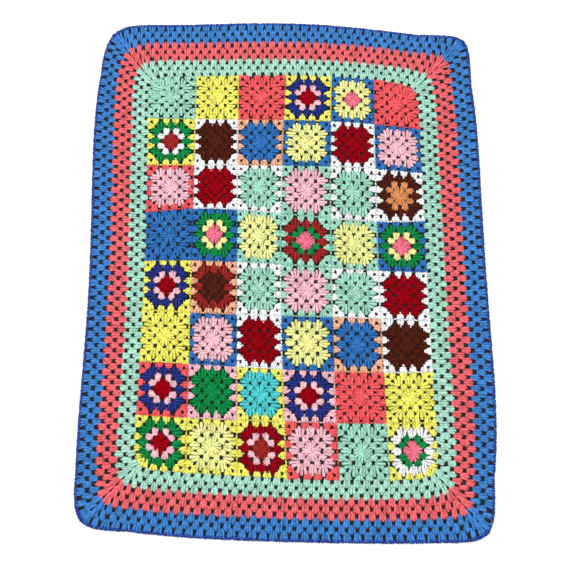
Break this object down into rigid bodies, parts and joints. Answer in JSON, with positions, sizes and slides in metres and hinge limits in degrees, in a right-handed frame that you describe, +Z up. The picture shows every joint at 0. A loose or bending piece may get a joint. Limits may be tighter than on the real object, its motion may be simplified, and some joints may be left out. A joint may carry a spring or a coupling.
{
  "type": "granny square blanket",
  "caption": "Crocheted blanket of many-coloured granny squares sewn edge to edge inside striped borders, lying flat; a warm cover for a lap, cot or bed.",
  "frame": {"origin": "on the floor under the middle of the blanket, which lies flat", "axes": "+X across the blanket to the right, +Y along its length to the top row of squares, +Z up"},
  "size_m": [0.9218, 1.2021, 0.0072],
  "materials": {
    "yarn_blue": "soft matt yarn, worked in open clusters of tall stitches",
    "yarn_brown": "soft matt yarn, worked in open clusters of tall stitches",
    "yarn_coral": "soft matt yarn, worked in open clusters of tall stitches",
    "yarn_crimson": "soft matt yarn, worked in open clusters of tall stitches",
    "yarn_green": "soft matt yarn, worked in open clusters of tall stitches",
    "yarn_lemon": "soft matt yarn, worked in open clusters of tall stitches",
    "yarn_mint": "soft matt yarn, worked in open clusters of tall stitches",
    "yarn_navy": "soft matt yarn, worked in open clusters of tall stitches",
    "yarn_pink": "soft matt yarn, worked in open clusters of tall stitches",
    "yarn_rust": "soft matt yarn, worked in open clusters of tall stitches",
    "yarn_tan": "soft matt yarn, worked in open clusters of tall stitches",
    "yarn_turquoise": "soft matt yarn, worked in open clusters of tall stitches",
    "yarn_white": "soft matt yarn, worked in open clusters of tall stitches",
    "yarn_yellow": "soft matt yarn, worked in open clusters of tall stitches"
  },
  "bodies": {
    "root": {"square_r1_c1": "yarn_mint", "square_r1_c2": "yarn_yellow", "square_r1_c3": "yarn_coral", "square_r1_c4": "yarn_navy", "square_r1_c5": "yarn_lemon", "square_r1_c6": "yarn_coral", "square_r2_c1": "yarn_green", "square_r2_c2": "yarn_brown", "square_r2_c3": "yarn_blue", "square_r2_c4": "yarn_lemon", "square_r2_c5": "yarn_crimson", "square_r2_c6": "yarn_pink", "square_r3_c1": "yarn_pink", "square_r3_c2": "yarn_crimson", "square_r3_c3": "yarn_mint", "square_r3_c4": "yarn_pink", "square_r3_c5": "yarn_mint", "square_r3_c6": "yarn_tan", "square_r4_c1": "yarn_blue", "square_r4_c2": "yarn_green", "square_r4_c3": "yarn_lemon", "square_r4_c4": "yarn_rust", "square_r4_c5": "yarn_lemon", "square_r4_c6": "yarn_green", "square_r5_c1": "yarn_navy", "square_r5_c2": "yarn_brown", "square_r5_c3": "yarn_mint", "square_r5_c4": "yarn_pink", "square_r5_c5": "yarn_mint", "square_r5_c6": "yarn_crimson", "square_r6_c1": "yarn_yellow", "square_r6_c2": "yarn_pink", "square_r6_c3": "yarn_crimson", "square_r6_c4": "yarn_lemon", "square_r6_c5": "yarn_blue", "square_r6_c6": "yarn_brown", "square_r7_c1": "yarn_navy", "square_r7_c2": "yarn_green", "square_r7_c3": "yarn_turquoise", "square_r7_c4": "yarn_navy", "square_r7_c5": "yarn_coral", "square_r7_c6": "yarn_yellow", "square_r8_c1": "yarn_green", "square_r8_c2": "yarn_lemon", "square_r8_c3": "yarn_crimson", "square_r8_c4": "yarn_pink", "square_r8_c5": "yarn_mint", "square_r8_c6": "yarn_white", "border_mint": "yarn_mint", "border_coral": "yarn_coral", "border_blue": "yarn_blue", "edging_navy": "yarn_navy"}
  },
  "joints": []
}
